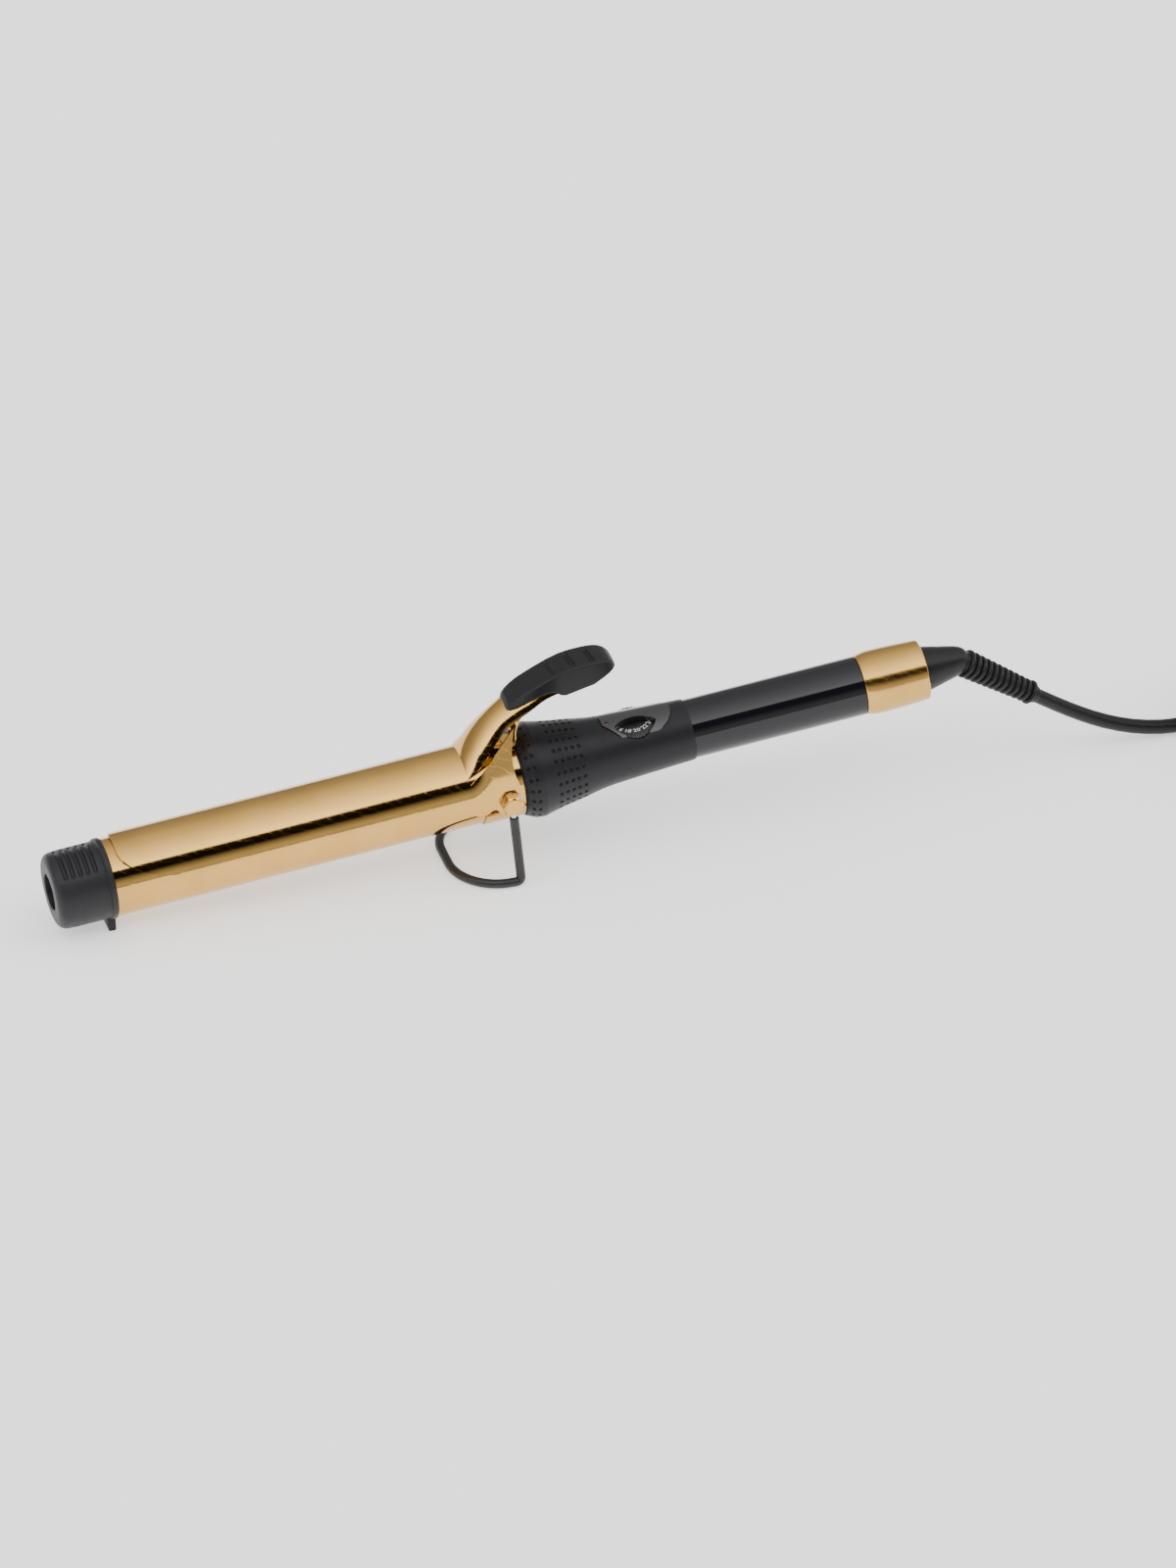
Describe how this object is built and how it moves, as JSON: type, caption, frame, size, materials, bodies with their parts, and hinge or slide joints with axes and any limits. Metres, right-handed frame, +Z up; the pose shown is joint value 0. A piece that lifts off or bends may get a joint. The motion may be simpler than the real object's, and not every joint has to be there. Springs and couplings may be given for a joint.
{
  "type": "curling iron",
  "caption": "Hair curling iron with a gold barrel, sprung clamp and thumb lever, fold-down wire stand, cool tip, dimpled grip, heat dial and swivelling mains cord with plug",
  "frame": {"origin": "on the table, at the bottom centre of the iron's own box without its cord, coil and plug", "axes": "+X from the cool tip toward the cord, +Y away from the dial's side, +Z up; the barrel slopes 5.4 degrees down to its tip as the iron rests on its foot and stand"},
  "size_m": [0.5638, 0.0973, 0.0883],
  "materials": {
    "gold_plate": "polished gold plate over steel",
    "tip_plastic": "fine-textured heat-resistant plastic",
    "grip_rubber": "soft satin rubber",
    "black_matte": "satin moulded plastic",
    "black_gloss": "glossy lacquered plastic",
    "panel_gloss": "glossy moulded plastic",
    "dial_black": "satin plastic with printed numbers",
    "steel": "drawn steel",
    "alloy": "cast, as machined",
    "ceramic_white": "unglazed ceramic",
    "copper": "bare copper alloy",
    "board_green": "coated laminate",
    "part_blue": "moulded part",
    "lens_red": "translucent red",
    "led_clear": "clear resin",
    "lead_sleeve": "woven glass sleeve",
    "sleeve_black": "silicone sleeving",
    "cord_black": "flexible cord jacket"
  },
  "bodies": {
    "iron": {"cool_tip": "tip_plastic", "tip_screw": "steel", "barrel": "gold_plate", "front_bulkhead": "steel", "heat_spreader_upper": "alloy", "heat_spreader_lower": "alloy", "heater_plate": "ceramic_white", "thermal_fuse": "ceramic_white", "temperature_sensor": "part_blue", "hinge_band": "gold_plate", "pivot_studs": "steel", "heat_ring": "black_matte", "handle_core_left": "black_matte", "handle_core_right": "black_matte", "core_screws": "steel", "front_grip": "grip_rubber", "control_panel": "panel_gloss", "light_lens": "lens_red", "power_led": "led_clear", "circuit_board": "board_green", "rheostat": "part_blue", "handle_tube": "black_gloss", "end_collar": "gold_plate", "swivel_socket": "black_matte", "heater_leads": "lead_sleeve", "clamp_spring": "gold_plate", "pivot_washers": "steel"},
    "clamp": {"clamp_plate": "gold_plate", "clamp_lever": "gold_plate", "hinge_yoke": "gold_plate", "thumb_rest": "black_matte", "thumb_rivets": "steel"},
    "stand": {"stand_wire": "steel", "stand_sleeve": "sleeve_black", "stand_bosses": "gold_plate"},
    "heat_dial": {"dial": "dial_black", "dial_axle": "steel"},
    "cord_end": {"swivel_hub": "black_matte", "slip_rings": "copper", "strain_relief": "cord_black", "cord_run": "cord_black", "cord_coil": "cord_black", "cord_tail": "cord_black", "plug_body": "black_matte", "plug_pins": "steel"}
  },
  "joints": [
    {"name": "clamp_hinge", "type": "hinge", "parent": "iron", "child": "clamp", "pos_m": [-0.02022, 0, 0.036], "axis": [0, 1, 0], "range_deg": [0, 16], "stiffness_Nm_per_rad": 0.8, "springref_deg": -8.59, "deforming": ["clamp_spring"]},
    {"name": "stand_pivot", "type": "hinge", "parent": "iron", "child": "stand", "pos_m": [-0.02022, 0, 0.036], "axis": [0, 1, 0], "range_deg": [-90, 22]},
    {"name": "dial_turn", "type": "hinge", "parent": "iron", "child": "heat_dial", "pos_m": [0.03562, 0, 0.05091], "axis": [-0.0939, 0, 0.9956], "range_deg": [0, 270]},
    {"name": "cord_swivel", "type": "hinge", "parent": "iron", "child": "cord_end", "pos_m": [0.15749, 0, 0.05276], "axis": [0.9956, 0, 0.0939], "continuous": true}
  ]
}
